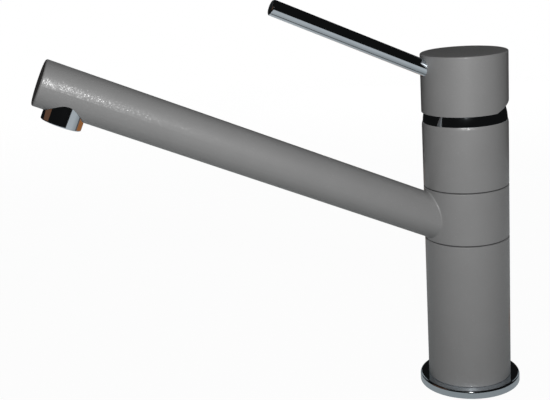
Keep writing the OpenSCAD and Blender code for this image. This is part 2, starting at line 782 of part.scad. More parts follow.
// The painted cap: a thin rim over the dome, bosses for the stem, the rod and the grub screw
module lever_cap() {
    socket_w = stem_w + 2 * fit_gap;
    color(paint) difference() {
        translate([0, 0, cap_z]) bar(cap_r, cap_h, 0, cap_edge_r);
        difference() {
            union() {
                translate([0, 0, cap_z - cut]) cylinder(r = cap_rim_r, h = cap_rim_h + cut);
                translate([0, 0, cap_z]) cylinder(r = cap_inner_r, h = cap_h - cap_top_t);
            }
            translate([0, 0, boss_z]) cylinder(r = boss_r, h = cap_top_z - boss_z);
            on_lever() cylinder(d = lever_d + 2 * boss_wall, h = cap_r);
            on_grub() cylinder(d = plug_d + 2 * plug_boss_wall, h = cap_r);
        }
        translate([-socket_w / 2, -socket_w / 2, boss_z - cut])
            cube([socket_w, socket_w, stem_top_z + 4 * end_gap - boss_z + cut]);
        on_lever() translate([0, 0, lever_tail - end_gap])
            cylinder(r = lever_thread_d / 2 + fit_gap, h = cap_r);
        on_lever() translate([0, 0, lever_start]) cylinder(r = lever_d / 2 + fit_gap, h = 2 * cap_r);
        on_grub() cylinder(r = grub_d / 2 + fit_gap, h = cap_r);
        on_grub() translate([0, 0, grub_y + grub_len]) cylinder(r = plug_d / 2 + fit_gap, h = cap_r);
        translate([-2 * cap_r, cap_cut_y, cap_z]) rotate([cap_cut_angle, 0, 0])
            translate([0, 0, -cap_h]) cube([4 * cap_r, 2 * cap_r, cap_h]);
    }
}

// The chrome rod, screwed into the cap
module lever_rod() {
    color(chrome) on_lever() {
        translate([0, 0, lever_start]) bar(lever_d / 2, lever_len - lever_start, 0, lever_edge_r);
        translate([0, 0, lever_tail]) cylinder(d = lever_thread_d, h = lever_thread_len);
    }
}

module grub_screw() {
    color(steel) on_grub() translate([0, 0, grub_y]) difference() {
        cylinder(d = grub_d, h = grub_len);
        translate([0, 0, grub_len - grub_socket_depth])
            cylinder(r = grub_socket_flats / 2 / cos(30), h = grub_socket_depth + cut, $fn = 6);
    }
}

// The plug that hides the grub screw, flush with the cap
module index_plug() {
    color(grey_plastic) intersection() {
        on_grub() translate([0, 0, cap_r - plug_len]) cylinder(d = plug_d, h = plug_len + cut);
        cylinder(r = cap_r, h = cap_top_z);
    }
}

base_ring();
base_gasket();
lower_body();
foot_nut();
valve_core();
lower_slip_ring();
upper_slip_ring();
spout_o_rings();
upper_body();
dome_ring();
cartridge_nut();
cartridge_shell();
cartridge_base();
port_seals();
fixed_disc();
spout_collar();
spout_tube();
spout_end_cap();
outlet_socket();
aerator_housing();
aerator_insert();
aerator_screen();
aerator_washer();
rotor();
pivot_pin();
disc_carrier();
moving_disc();
lever_stem();
lever_cap();
lever_rod();
grub_screw();
index_plug();
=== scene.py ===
import json
import math

import bmesh
import bpy
from mathutils import Matrix, Vector


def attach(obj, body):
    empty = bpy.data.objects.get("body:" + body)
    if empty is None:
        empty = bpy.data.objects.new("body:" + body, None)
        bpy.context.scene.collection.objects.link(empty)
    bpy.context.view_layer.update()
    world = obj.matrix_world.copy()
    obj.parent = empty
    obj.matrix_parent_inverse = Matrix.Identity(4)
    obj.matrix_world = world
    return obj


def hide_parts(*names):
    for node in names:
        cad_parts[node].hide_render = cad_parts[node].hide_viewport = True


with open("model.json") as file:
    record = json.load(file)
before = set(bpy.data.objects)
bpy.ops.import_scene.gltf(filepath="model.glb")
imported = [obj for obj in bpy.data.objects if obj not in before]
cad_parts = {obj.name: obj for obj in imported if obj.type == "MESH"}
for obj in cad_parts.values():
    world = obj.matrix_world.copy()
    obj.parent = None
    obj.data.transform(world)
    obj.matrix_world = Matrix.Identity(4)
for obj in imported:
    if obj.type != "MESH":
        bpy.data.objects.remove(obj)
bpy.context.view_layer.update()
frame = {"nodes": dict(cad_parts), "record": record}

mm = 0.001
noiseRange = {"From_Min": 0.3, "From_Max": 0.7}     # where nearly all of a noise texture's values lie


def toLinear(hexColour):
    # An sRGB hex value as Blender's linear RGBA
    parts = [int(hexColour[i:i + 2], 16) / 255 for i in (1, 3, 5)]
    return tuple(c / 12.92 if c <= 0.04045 else ((c + 0.055) / 1.055) ** 2.4 for c in parts) + (1,)


def addNode(tree, kind, feeds=None, **settings):
    # Adds a node: settings are its properties or, with spaces as underscores, its sockets, feeds its links or values
    node = tree.nodes.new(kind)
    for name, value in settings.items():
        if hasattr(node, name):
            setattr(node, name, value)
        else:
            node.inputs[name.replace("_", " ")].default_value = value
    for socket, source in (feeds or {}).items():
        if isinstance(source, bpy.types.NodeSocket):
            tree.links.new(source, node.inputs[socket])
        else:
            node.inputs[socket].default_value = source
    return node


def newMaterial(name):
    material = bpy.data.materials.new(name)
    material.use_nodes = True
    tree = material.node_tree
    tree.nodes.clear()
    shader = addNode(tree, "ShaderNodeBsdfPrincipled")
    out = addNode(tree, "ShaderNodeOutputMaterial")
    tree.links.new(shader.outputs["BSDF"], out.inputs["Surface"])
    coords = addNode(tree, "ShaderNodeTexCoord").outputs["Object"]
    return material, tree, shader, coords


# The camera, fitted to the outlines of the column, the spout and the lever
camera = {
    "azimuth": 64.94,      # degrees from -Y round to +X
    "distance": 517.88,    # mm from the column's axis
    "height": 247.22,      # mm above the deck
    "yaw": -0.1948,        # radians, from straight at the column
    "pitch": 0.2663,       # radians, downwards
    "roll": -0.07071,      # radians
    "lens": 65.913,        # mm
    "sensor": 36,          # mm across
}


def makeCamera():
    turn = math.radians(camera["azimuth"])
    ahead = turn + math.pi / 2 - camera["yaw"]
    forward = Vector((math.cos(ahead), math.sin(ahead), 0))
    right = Vector((math.sin(ahead), -math.cos(ahead), 0))
    up = Vector((0, 0, 1))
    aim = forward * math.cos(camera["pitch"]) - up * math.sin(camera["pitch"])
    top = up * math.cos(camera["pitch"]) + forward * math.sin(camera["pitch"])
    side = right * math.cos(camera["roll"]) + top * math.sin(camera["roll"])
    top = top * math.cos(camera["roll"]) - right * math.sin(camera["roll"])
    data = bpy.data.cameras.new("photoCamera")
    data.lens = camera["lens"]
    data.sensor_width = camera["sensor"]
    data.clip_start = 0.01
    data.clip_end = 50
    eye = bpy.data.objects.new("photoCamera", data)
    bpy.context.scene.collection.objects.link(eye)
    eye.matrix_world = Matrix((side, top, -aim)).transposed().to_4x4()
    eye.location = Vector((math.sin(turn), -math.cos(turn), 0)) * camera["distance"] * mm
    eye.location.z = camera["height"] * mm
    bpy.context.scene.camera = eye
    return eye, side, top


eye, cameraSide, cameraTop = makeCamera()
print("camera made")

# Fine-textured polyester powder coat, sprayed and baked: dull grey pigment under a clear skin that glints
powderCoat = {
    "colour": "#808080",
    "shade": "#7A7A7A",          # what the colour drifts to in soft clouds
    "cloudSize": 14,             # mm
    "speck": "#C9C9C9",          # pale specks: dust on the paint, painted paler to stand for the glints it catches
    "speckSize": 0.65,           # mm between the places where a speck may lie
    "speckShare": 0.07,          # of those places
    "speckWeight": 0.35,
    "speckEdge": (0.2, 0.12),    # from the outside of a speck to its full colour, in speckSizes
    "grain": 0.6,                # mm, coarser than the real 0.3 mm so that it shows
    "grainDepth": 0.008,         # mm in the pigment
    "roughness": (0.54, 0.66),
    "skin": 0.6,                 # weight of the clear skin over the pigment
    "skinRoughness": 0.29,
    "facet": 0.45,               # mm across a facet of the skin, whose lean makes the glints
    "facetTilt": 0.18,           # sideways lean of a facet's normal, from one extreme to the other
}


def makePowderCoat():
    material, tree, shader, coords = newMaterial("powderCoatGrey")
    p = powderCoat
    clouds = addNode(tree, "ShaderNodeTexNoise", {"Vector": coords}, Scale=1 / (p["cloudSize"] * mm), Detail=2.0)
    grain = addNode(tree, "ShaderNodeTexNoise", {"Vector": coords}, Scale=1 / (p["grain"] * mm), Detail=2.0)
    cells = addNode(tree, "ShaderNodeTexVoronoi", {"Vector": coords}, Scale=1 / (p["speckSize"] * mm))
    tint = addNode(tree, "ShaderNodeMix", {0: clouds.outputs["Fac"], 6: toLinear(p["shade"]), 7: toLinear(p["colour"])},
                   data_type="RGBA")
    # A few cells get a pale speck: dust, with its glint painted into the colour
    chosen = addNode(tree, "ShaderNodeSeparateColor", {"Color": cells.outputs["Color"]})
    rare = addNode(tree, "ShaderNodeMath", {0: chosen.outputs[0], 1: 1 - p["speckShare"]}, operation="GREATER_THAN")
    near = addNode(tree, "ShaderNodeMapRange", {"Value": cells.outputs["Distance"]}, From_Min=p["speckEdge"][0],
                   From_Max=p["speckEdge"][1])
    speck = addNode(tree, "ShaderNodeMath", {0: rare.outputs[0], 1: near.outputs[0]}, operation="MULTIPLY")
    faint = addNode(tree, "ShaderNodeMath", {0: speck.outputs[0], 1: p["speckWeight"]}, operation="MULTIPLY")
    flecked = addNode(tree, "ShaderNodeMix", {0: faint.outputs[0], 6: tint.outputs[2], 7: toLinear(p["speck"])},
                      data_type="RGBA")
    tree.links.new(flecked.outputs[2], shader.inputs["Base Color"])
    rough = addNode(tree, "ShaderNodeMapRange", {"Value": grain.outputs["Fac"]}, To_Min=p["roughness"][0],
                    To_Max=p["roughness"][1], **noiseRange)
    tree.links.new(rough.outputs[0], shader.inputs["Roughness"])
    bump = addNode(tree, "ShaderNodeBump", {"Height": grain.outputs["Fac"]}, Distance=p["grainDepth"] * mm)
    tree.links.new(bump.outputs["Normal"], shader.inputs["Normal"])
    # Each facet of the skin leans its own way, so a highlight breaks up into glints
    facets = addNode(tree, "ShaderNodeTexVoronoi", {"Vector": coords}, Scale=1 / (p["facet"] * mm))
    lean = addNode(tree, "ShaderNodeVectorMath", {0: facets.outputs["Color"], 1: (0.5, 0.5, 0.5)}, operation="SUBTRACT")
    tilt = addNode(tree, "ShaderNodeVectorMath", {0: lean.outputs[0], "Scale": p["facetTilt"]}, operation="SCALE")
    normal = addNode(tree, "ShaderNodeNewGeometry").outputs["Normal"]
    tilted = addNode(tree, "ShaderNodeVectorMath", {0: normal, 1: tilt.outputs[0]}, operation="ADD")
    facing = addNode(tree, "ShaderNodeVectorMath", {0: tilted.outputs[0]}, operation="NORMALIZE")
    tree.links.new(facing.outputs[0], shader.inputs["Coat Normal"])
    shader.inputs["Coat Weight"].default_value = p["skin"]
    shader.inputs["Coat Roughness"].default_value = p["skinRoughness"]
    return material


# Bright chrome plate on polished brass: a cool mirror with the faint haze of wiping
chromePlate = {
    "colour": "#DCE3E9",
    "haze": "#CFD7DE",
    "hazeSize": 9,                # mm
    "hazeRange": (0.3, 0.8),      # of the haze's noise, from clean to hazy
    "roughness": (0.03, 0.09),    # over that range
    "ripple": 6,                  # mm, the slow waves that polishing leaves
    "rippleDepth": 0.002,         # mm
}


def makeChromePlate():
    material, tree, shader, coords = newMaterial("chromePlate")
    p = chromePlate
    haze = addNode(tree, "ShaderNodeTexNoise", {"Vector": coords}, Scale=1 / (p["hazeSize"] * mm), Detail=4.0)
    tint = addNode(tree, "ShaderNodeMix", {0: haze.outputs["Fac"], 6: toLinear(p["haze"]), 7: toLinear(p["colour"])},
                   data_type="RGBA")
    tree.links.new(tint.outputs[2], shader.inputs["Base Color"])
    rough = addNode(tree, "ShaderNodeMapRange", {"Value": haze.outputs["Fac"]},
                    From_Min=p["hazeRange"][0], From_Max=p["hazeRange"][1], To_Min=p["roughness"][0],
                    To_Max=p["roughness"][1])
    tree.links.new(rough.outputs[0], shader.inputs["Roughness"])
    ripple = addNode(tree, "ShaderNodeTexNoise", {"Vector": coords}, Scale=1 / (p["ripple"] * mm), Detail=1.0)
    bump = addNode(tree, "ShaderNodeBump", {"Height": ripple.outputs["Fac"]}, Distance=p["rippleDepth"] * mm)
    tree.links.new(bump.outputs["Normal"], shader.inputs["Normal"])
    shader.inputs["Metallic"].default_value = 1
    return material


# The other metals, the plastics, the rubber and the discs: each has two tints, which drift into each other in soft
# clouds, a grain and its depth in mm, and a range of roughness
plainCloudSize = 8     # mm
plainFinishes = {
    # Free-cutting brass, cast and turned: warm, with fine feed marks
    "turnedBrass": {"slots": ["brass"], "colours": ("#B8924E", "#D0AA62"), "grain": 0.5, "depth": 0.01,
                    "roughness": (0.25, 0.42), "metallic": 1},
    # Stainless steel 304, bright drawn: neutral, with a satin grain
    "drawnSteel": {"slots": ["steel"], "colours": ("#A9AAAC", "#C4C5C7"), "grain": 0.4, "depth": 0.008,
                   "roughness": (0.22, 0.38), "metallic": 1},
    # Nitrile rubber, moulded: near black, dull, with a faint bloom
    "nitrileRubber": {"slots": ["rubber"], "colours": ("#141414", "#1F1F1F"), "grain": 0.6, "depth": 0.02,
                      "roughness": (0.6, 0.8), "metallic": 0},
    # Black acetal, turned: satin, lightened to dark grey so that the shaded joint gaps show less dark, as painted light
    "blackAcetal": {"slots": ["black_plastic"], "colours": ("#3A3A3B", "#454546"), "grain": 0.5, "depth": 0.01,
                    "roughness": (0.35, 0.5), "metallic": 0},
    # White acetal, moulded: warm white, satin
    "whiteAcetal": {"slots": ["white_plastic"], "colours": ("#DCDAD2", "#E6E4DD"), "grain": 0.8, "depth": 0.008,
                    "roughness": (0.32, 0.45), "metallic": 0},
    # Glass-filled nylon, moulded: grey, with a fine sparked grain
    "greyNylon": {"slots": ["grey_plastic"], "colours": ("#66686B", "#77797C"), "grain": 0.5, "depth": 0.02,
                  "roughness": (0.42, 0.58), "metallic": 0},
    # Alumina, sintered and lapped: ivory and glossy
    "lappedAlumina": {"slots": ["ceramic"], "colours": ("#E8E2D4", "#F0ECE2"), "grain": 0.6, "depth": 0.002,
                      "roughness": (0.12, 0.2), "metallic": 0},
}


def makePlainFinish(name, p):
    material, tree, shader, coords = newMaterial(name)
    grain = addNode(tree, "ShaderNodeTexNoise", {"Vector": coords}, Scale=1 / (p["grain"] * mm), Detail=3.0)
    clouds = addNode(tree, "ShaderNodeTexNoise", {"Vector": coords}, Scale=1 / (plainCloudSize * mm), Detail=2.0)
    tint = addNode(tree, "ShaderNodeMix", {0: clouds.outputs["Fac"], 6: toLinear(p["colours"][0]),
                                           7: toLinear(p["colours"][1])}, data_type="RGBA")
    tree.links.new(tint.outputs[2], shader.inputs["Base Color"])
    rough = addNode(tree, "ShaderNodeMapRange", {"Value": grain.outputs["Fac"]}, To_Min=p["roughness"][0],
                    To_Max=p["roughness"][1], **noiseRange)
    tree.links.new(rough.outputs[0], shader.inputs["Roughness"])
    bump = addNode(tree, "ShaderNodeBump", {"Height": grain.outputs["Fac"]}, Distance=p["depth"] * mm)
    tree.links.new(bump.outputs["Normal"], shader.inputs["Normal"])
    shader.inputs["Metallic"].default_value = p["metallic"]
    return material


finishes = {"grey_paint": makePowderCoat(), "chrome": makeChromePlate()}
for finishName, values in plainFinishes.items():
    made = makePlainFinish(finishName, values)
    for slotName in values["slots"]:
        finishes[slotName] = made

for row in frame["record"]["subparts"]:
    for materialSlot in frame["nodes"][row["node"]].material_slots:
        materialSlot.material = finishes[row["material_slot"]]
print("materials made")


def newTree(name, inputs):
    # A Geometry Nodes tree with its geometry sockets and its named inputs
    tree = bpy.data.node_groups.new(name, "GeometryNodeTree")
    tree.interface.new_socket(name="Geometry", in_out="INPUT", socket_type="NodeSocketGeometry")
    tree.interface.new_socket(name="Geometry", in_out="OUTPUT", socket_type="NodeSocketGeometry")
    for label, kind in inputs.items():
        tree.interface.new_socket(name=label, in_out="INPUT", socket_type="NodeSocket" + kind)
    return tree, addNode(tree, "NodeGroupInput").outputs, addNode(tree, "NodeGroupOutput")


def bakeTree(name, tree, values, points=()):
    # Runs a tree on an object made of loose points and keeps the result as a plain mesh
    seed = bpy.data.meshes.new(name + "Seed")
    seed.from_pydata(points, [], [])
    carrier = bpy.data.objects.new(name + "Carrier", seed)
    bpy.context.scene.collection.objects.link(carrier)
    modifier = carrier.modifiers.new(name, "NODES")
    modifier.node_group = tree
    for item in tree.interface.items_tree:
        if item.in_out == "INPUT" and item.name in values:
            modifier[item.identifier] = values[item.name]
    evaluated = carrier.evaluated_get(bpy.context.evaluated_depsgraph_get())
    mesh = bpy.data.meshes.new_from_object(evaluated)
    mesh.name = name
    carrier.modifiers.remove(modifier)
    bpy.data.objects.remove(carrier)
    solid = bmesh.new()
    solid.from_mesh(mesh)
    bmesh.ops.remove_doubles(solid, verts=solid.verts, dist=1e-6)
    bmesh.ops.recalc_face_normals(solid, faces=solid.faces)
    solid.to_mesh(mesh)
    solid.free()
    mesh.polygons.foreach_set("material_index", [0] * len(mesh.polygons))
    mesh.materials.clear()
    mesh.materials.append(values["Material"])
    piece = bpy.data.objects.new(name, mesh)
    bpy.context.scene.collection.objects.link(piece)
    return piece


# The fillet of filler and paint where the spout leaves the collar, as a ball rolled round the corner would leave it
spoutFillet = {
    "Column Radius": 22.0,    # mm
    "Spout Radius": 11.2,
    "Ball Radius": 0.6,
    "Root Height": 86.05,     # mm, where the spout's axis meets the column's
    "Sink": 0.25,             # mm, how far the fillet's back lies in the metal
    "Rise": 25.4,             # degrees
    "Around": 192,            # steps
    "Across": 8,
}


def makeSpoutFillet():
    lengths = ("Column Radius", "Spout Radius", "Ball Radius", "Root Height", "Sink")
    kinds = {label: "Float" for label in lengths + ("Rise",)}
    kinds.update({"Around": "Int", "Across": "Int", "Material": "Material"})
    tree, given, out = newTree("rolledFillet", kinds)
    # A sheet whose x runs round the spout and whose rows go over the hollow face and back through the metal
    rows = addNode(tree, "ShaderNodeMath", {0: given["Across"], 1: 2.0, 2: 3.0}, operation="MULTIPLY_ADD").outputs[0]
    sheet = addNode(tree, "GeometryNodeMeshGrid", {"Vertices X": given["Around"], "Vertices Y": rows}, Size_X=1.0,
                    Size_Y=1.0).outputs["Mesh"]
    place = addNode(tree, "ShaderNodeSeparateXYZ", {0: addNode(tree, "GeometryNodeInputPosition").outputs[0]}).outputs
    turn = addNode(tree, "ShaderNodeMath", {0: place["X"], 1: 2 * math.pi}, operation="MULTIPLY").outputs[0]
    share = addNode(tree, "ShaderNodeMath", {0: place["Y"], 1: 0.5}, operation="ADD").outputs[0]
    last = addNode(tree, "ShaderNodeMath", {0: rows, 1: 1.0}, operation="SUBTRACT").outputs[0]
    exact = addNode(tree, "ShaderNodeMath", {0: share, 1: last}, operation="MULTIPLY").outputs[0]
    row = addNode(tree, "ShaderNodeMath", {0: exact}, operation="ROUND").outputs[0]
    home = addNode(tree, "ShaderNodeMath", {0: last, 1: row}, operation="SUBTRACT").outputs[0]
    home = addNode(tree, "ShaderNodeMath", {0: home, 1: 1.0}, operation="SUBTRACT").outputs[0]
    step = addNode(tree, "ShaderNodeMath", {0: row, 1: home}, operation="MINIMUM").outputs[0]
    blend = addNode(tree, "ShaderNodeMath", {0: step, 1: given["Across"]}, operation="DIVIDE",
                    use_clamp=True).outputs[0]
    half = addNode(tree, "ShaderNodeMath", {0: given["Across"], 1: 0.5}, operation="ADD").outputs[0]
    past = addNode(tree, "ShaderNodeMath", {0: row, 1: half}, operation="GREATER_THAN").outputs[0]
    unclosed = addNode(tree, "ShaderNodeMath", {0: home, 1: -0.5}, operation="GREATER_THAN").outputs[0]
    back = addNode(tree, "ShaderNodeMath", {0: past, 1: unclosed}, operation="MULTIPLY").outputs[0]
    reach = addNode(tree, "ShaderNodeMath", {0: back, 1: given["Sink"], 2: given["Ball Radius"]},
                    operation="MULTIPLY_ADD").outputs[0]
    # The ball's centre keeps its radius away from both the column and the spout
    angle = addNode(tree, "ShaderNodeMath", {0: given["Rise"]}, operation="RADIANS").outputs[0]
    sinRise = addNode(tree, "ShaderNodeMath", {0: angle}, operation="SINE").outputs[0]
    cosRise = addNode(tree, "ShaderNodeMath", {0: angle}, operation="COSINE").outputs[0]
    sinTurn = addNode(tree, "ShaderNodeMath", {0: turn}, operation="SINE").outputs[0]
    cosTurn = addNode(tree, "ShaderNodeMath", {0: turn}, operation="COSINE").outputs[0]
    acrossY = addNode(tree, "ShaderNodeMath", {0: sinTurn, 1: sinRise}, operation="MULTIPLY").outputs[0]
    acrossZ = addNode(tree, "ShaderNodeMath", {0: sinTurn, 1: cosRise}, operation="MULTIPLY").outputs[0]
    outward = addNode(tree, "ShaderNodeCombineXYZ", {"X": cosTurn, "Y": acrossY, "Z": acrossZ}).outputs[0]
    fromSpout = addNode(tree, "ShaderNodeMath", {0: given["Spout Radius"], 1: given["Ball Radius"]},
                        operation="ADD").outputs[0]
    fromColumn = addNode(tree, "ShaderNodeMath", {0: given["Column Radius"], 1: given["Ball Radius"]},
                         operation="ADD").outputs[0]
    centreX = addNode(tree, "ShaderNodeMath", {0: fromSpout, 1: cosTurn}, operation="MULTIPLY").outputs[0]
    startY = addNode(tree, "ShaderNodeMath", {0: fromSpout, 1: acrossY}, operation="MULTIPLY").outputs[0]
    startZ = addNode(tree, "ShaderNodeMath", {0: fromSpout, 1: acrossZ, 2: given["Root Height"]},
                     operation="MULTIPLY_ADD").outputs[0]
    squareX = addNode(tree, "ShaderNodeMath", {0: centreX, 1: centreX}, operation="MULTIPLY").outputs[0]
    squareR = addNode(tree, "ShaderNodeMath", {0: fromColumn, 1: fromColumn}, operation="MULTIPLY").outputs[0]
    rest = addNode(tree, "ShaderNodeMath", {0: squareR, 1: squareX}, operation="SUBTRACT").outputs[0]
    away = addNode(tree, "ShaderNodeMath", {0: rest}, operation="SQRT").outputs[0]
    centreY = addNode(tree, "ShaderNodeMath", {0: away, 1: -1.0}, operation="MULTIPLY").outputs[0]
    travel = addNode(tree, "ShaderNodeMath", {0: startY, 1: away}, operation="ADD").outputs[0]
    slope = addNode(tree, "ShaderNodeMath", {0: sinRise, 1: cosRise}, operation="DIVIDE").outputs[0]
    centreZ = addNode(tree, "ShaderNodeMath", {0: travel, 1: slope, 2: startZ}, operation="MULTIPLY_ADD").outputs[0]
    centre = addNode(tree, "ShaderNodeCombineXYZ", {"X": centreX, "Y": centreY, "Z": centreZ}).outputs[0]
    flat = addNode(tree, "ShaderNodeCombineXYZ", {"X": centreX, "Y": centreY}).outputs[0]
    fromAxis = addNode(tree, "ShaderNodeVectorMath", {0: flat}, operation="NORMALIZE").outputs[0]
    aim = addNode(tree, "ShaderNodeMix", {0: blend, 4: fromAxis, 5: outward}, data_type="VECTOR").outputs[1]
    aim = addNode(tree, "ShaderNodeVectorMath", {0: aim}, operation="NORMALIZE").outputs[0]
    arm = addNode(tree, "ShaderNodeVectorMath", {0: aim, "Scale": reach}, operation="SCALE").outputs[0]
    spot = addNode(tree, "ShaderNodeVectorMath", {0: centre, 1: arm}, operation="SUBTRACT").outputs[0]
    bent = addNode(tree, "GeometryNodeSetPosition", {"Geometry": sheet, "Position": spot}).outputs[0]
    joined = addNode(tree, "GeometryNodeMergeByDistance", {"Geometry": bent}, Distance=1e-7).outputs[0]
    smooth = addNode(tree, "GeometryNodeSetShadeSmooth", {0: joined}).outputs[0]
    real = addNode(tree, "GeometryNodeRealizeInstances", {0: smooth}).outputs[0]
    painted = addNode(tree, "GeometryNodeSetMaterial", {"Geometry": real, "Material": given["Material"]}).outputs[0]
    tree.links.new(painted, out.inputs[0])
    values = {label: spoutFillet[label] * mm for label in lengths}
    values.update({label: spoutFillet[label] for label in ("Rise", "Around", "Across")})
    values["Material"] = finishes["grey_paint"]
    piece = bakeTree("spoutFillet", tree, values)
    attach(piece, "spout")


# The threads cut up from the foot: fine M10x1 for the two hoses and M8 for the stud
footThreads = {
    "hoseThreads": {"points": [(7.2, -3.6), (-7.2, -3.6)], "Bore Radius": 4.5, "Pitch": 1.0, "Depth": 12.0,
                    "Ridge": 0.3},
    "studThread": {"points": [(0, 10)], "Bore Radius": 3.4, "Pitch": 1.25, "Depth": 15.0, "Ridge": 0.36},
    "start": 1.4,       # mm above the deck
    "steps": 28,        # points in a turn
    "ridgeSides": 4,    # of a ridge's cross-section
}


def makeThreadTree():
    lengths = ("Bore Radius", "Pitch", "Depth", "Ridge")
    kinds = {label: "Float" for label in lengths}
    kinds.update({"Steps": "Int", "Sides": "Int", "Material": "Material"})
    tree, given, out = newTree("threadRidges", kinds)
    turns = addNode(tree, "ShaderNodeMath", {0: given["Depth"], 1: given["Pitch"]}, operation="DIVIDE").outputs[0]
    helix = addNode(tree, "GeometryNodeCurveSpiral", {"Resolution": given["Steps"], "Rotations": turns,
                                                      "Start Radius": given["Bore Radius"],
                                                      "End Radius": given["Bore Radius"], "Height": given["Depth"]})
    upright = addNode(tree, "GeometryNodeSetCurveNormal", {"Curve": helix.outputs[0]}, mode="Z_UP")
    ridge = addNode(tree, "GeometryNodeCurvePrimitiveCircle", {"Resolution": given["Sides"], "Radius": given["Ridge"]})
    thread = addNode(tree, "GeometryNodeCurveToMesh", {"Curve": upright.outputs[0], "Profile Curve": ridge.outputs[0]},
                     Fill_Caps=True).outputs[0]
    copies = addNode(tree, "GeometryNodeInstanceOnPoints", {"Points": given["Geometry"], "Instance": thread}).outputs[0]
    real = addNode(tree, "GeometryNodeRealizeInstances", {0: copies}).outputs[0]
    plated = addNode(tree, "GeometryNodeSetMaterial", {"Geometry": real, "Material": given["Material"]}).outputs[0]
    tree.links.new(plated, out.inputs[0])
    return tree


def makeFootThreads():
    tree = makeThreadTree()
    for name in ("hoseThreads", "studThread"):
        p = footThreads[name]
        values = {label: p[label] * mm for label in ("Bore Radius", "Pitch", "Depth", "Ridge")}
        values.update({"Steps": footThreads["steps"], "Sides": footThreads["ridgeSides"],
                       "Material": finishes["brass"]})
        points = [(x * mm, y * mm, footThreads["start"] * mm) for x, y in p["points"]]
        piece = bakeTree(name, tree, values, points)
        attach(piece, "column")


# The upper sleeve, turned: its top edge is drawn in softly, and the paint catches the light there
upperSleeve = {
    "radius": 22.0,     # mm
    "bore": 19.2,
    "footBore": 20.4,
    "low": 110.8,       # heights in mm above the deck
    "step": 116.0,
    "top": 144.3,
    "lowEdge": 0.3,     # mm, radius of the lower edge
    "drawBend": 5.0,    # mm, radius that starts the draw
    "drawLean": 12,     # degrees it reaches
    "taper": 0.8,       # mm, the straight part after it
    "lipEdge": 0.12,    # mm, radius of the last edge
    "sharp": 35,        # degrees from which an edge stays sharp
    "around": 192,      # steps
    "lipSteps": 5,
    "edgeSteps": 6,     # in the lower edge and in the draw
}


def makeUpperSleeve():
    p = upperSleeve
    quarter, lean = math.pi / 2, math.radians(p["drawLean"])
    lipSteps, edgeSteps = p["lipSteps"], p["edgeSteps"]
    # The lip and the draw below it, both from the outside inwards, joined by the straight taper
    lip = [(p["lipEdge"] * (math.cos(a) - 1), p["lipEdge"] * math.sin(a))
           for a in (lean + (quarter - lean) * i / lipSteps for i in range(lipSteps + 1))]
    draw = [(p["drawBend"] * (math.cos(a) - 1), p["drawBend"] * math.sin(a))
            for a in (lean * i / edgeSteps for i in range(edgeSteps + 1))]
    taperX = draw[-1][0] - p["taper"] * math.sin(lean) - lip[0][0]
    taperZ = draw[-1][1] + p["taper"] * math.cos(lean) - lip[0][1]
    draw += [(taperX + x, taperZ + z) for x, z in lip]
    start = p["top"] - draw[-1][1]
    edge = p["lowEdge"]
    foot = [(p["radius"] - edge + edge * math.sin(a), p["low"] + edge - edge * math.cos(a))
            for a in (quarter * i / edgeSteps for i in range(edgeSteps + 1))]
    # The whole outline: bore's foot, lower edge, upper edge, bore and its step
    profile = [(p["footBore"], p["low"])] + foot + [(p["radius"] + x, start + z) for x, z in draw]
    profile += [(p["bore"], p["top"]), (p["bore"], p["step"]), (p["footBore"], p["step"])]
    around, rows = p["around"], len(profile)
    turns = [2 * math.pi * i / around for i in range(around)]
    vertices = [(r * math.cos(a) * mm, r * math.sin(a) * mm, z * mm) for a in turns for r, z in profile]
    faces = [(i * rows + j, (i + 1) % around * rows + j, (i + 1) % around * rows + (j + 1) % rows,
              i * rows + (j + 1) % rows) for i in range(around) for j in range(rows)]
    mesh = bpy.data.meshes.new("upperSleeve")
    mesh.from_pydata(vertices, [], faces)
    mesh.shade_smooth()
    mesh.set_sharp_from_angle(angle=math.radians(p["sharp"]))
    mesh.materials.append(finishes["grey_paint"])
    sleeve = bpy.data.objects.new("upperSleeve", mesh)
    bpy.context.scene.collection.objects.link(sleeve)
    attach(sleeve, "column")
    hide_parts("upper_body")


makeSpoutFillet()
makeUpperSleeve()
makeFootThreads()
print("fillet, sleeve and threads made")


# The light: a small lamp over the camera, as a flash is, a soft one behind the tap and a dim world
lighting = {
    "aim": (0, -60, 110),             # mm, the tap's middle
    "lampOffset": (32, 88, 38),       # mm to the right of the camera, above it and ahead of it
    "lampSize": 26,                   # mm across
    "lampLevel": 0.9,                 # of what shows a colour as it is written
    "backPlace": (-900, 420, 170),    # mm
    "backSize": 500,                  # mm across
    "backLevel": 0.8,
    "world": "#414141",
}


def makeLamp(name, place, target, size, level, mirrored):
    data = bpy.data.lights.new(name, "AREA")
    data.shape = "DISK"
    data.size = size * mm
    reach = (target - place).length
    data.energy = level * math.pi ** 2 * reach ** 2
    lamp = bpy.data.objects.new(name, data)
    bpy.context.scene.collection.objects.link(lamp)
    lamp.location = place
    lamp.rotation_mode = "QUATERNION"
    lamp.rotation_quaternion = (target - place).to_track_quat("-Z", "Y")
    lamp.visible_camera = False
    lamp.visible_glossy = mirrored


def seenDirectly(tree):
    # 1 for camera, glossy and transmission rays, 0 for the rest
    path = addNode(tree, "ShaderNodeLightPath")
    first = addNode(tree, "ShaderNodeMath", {0: path.outputs["Is Camera Ray"], 1: path.outputs["Is Glossy Ray"]},
                    operation="MAXIMUM")
    both = addNode(tree, "ShaderNodeMath", {0: first.outputs[0], 1: path.outputs["Is Transmission Ray"]},
                   operation="MAXIMUM")
    return both.outputs[0]


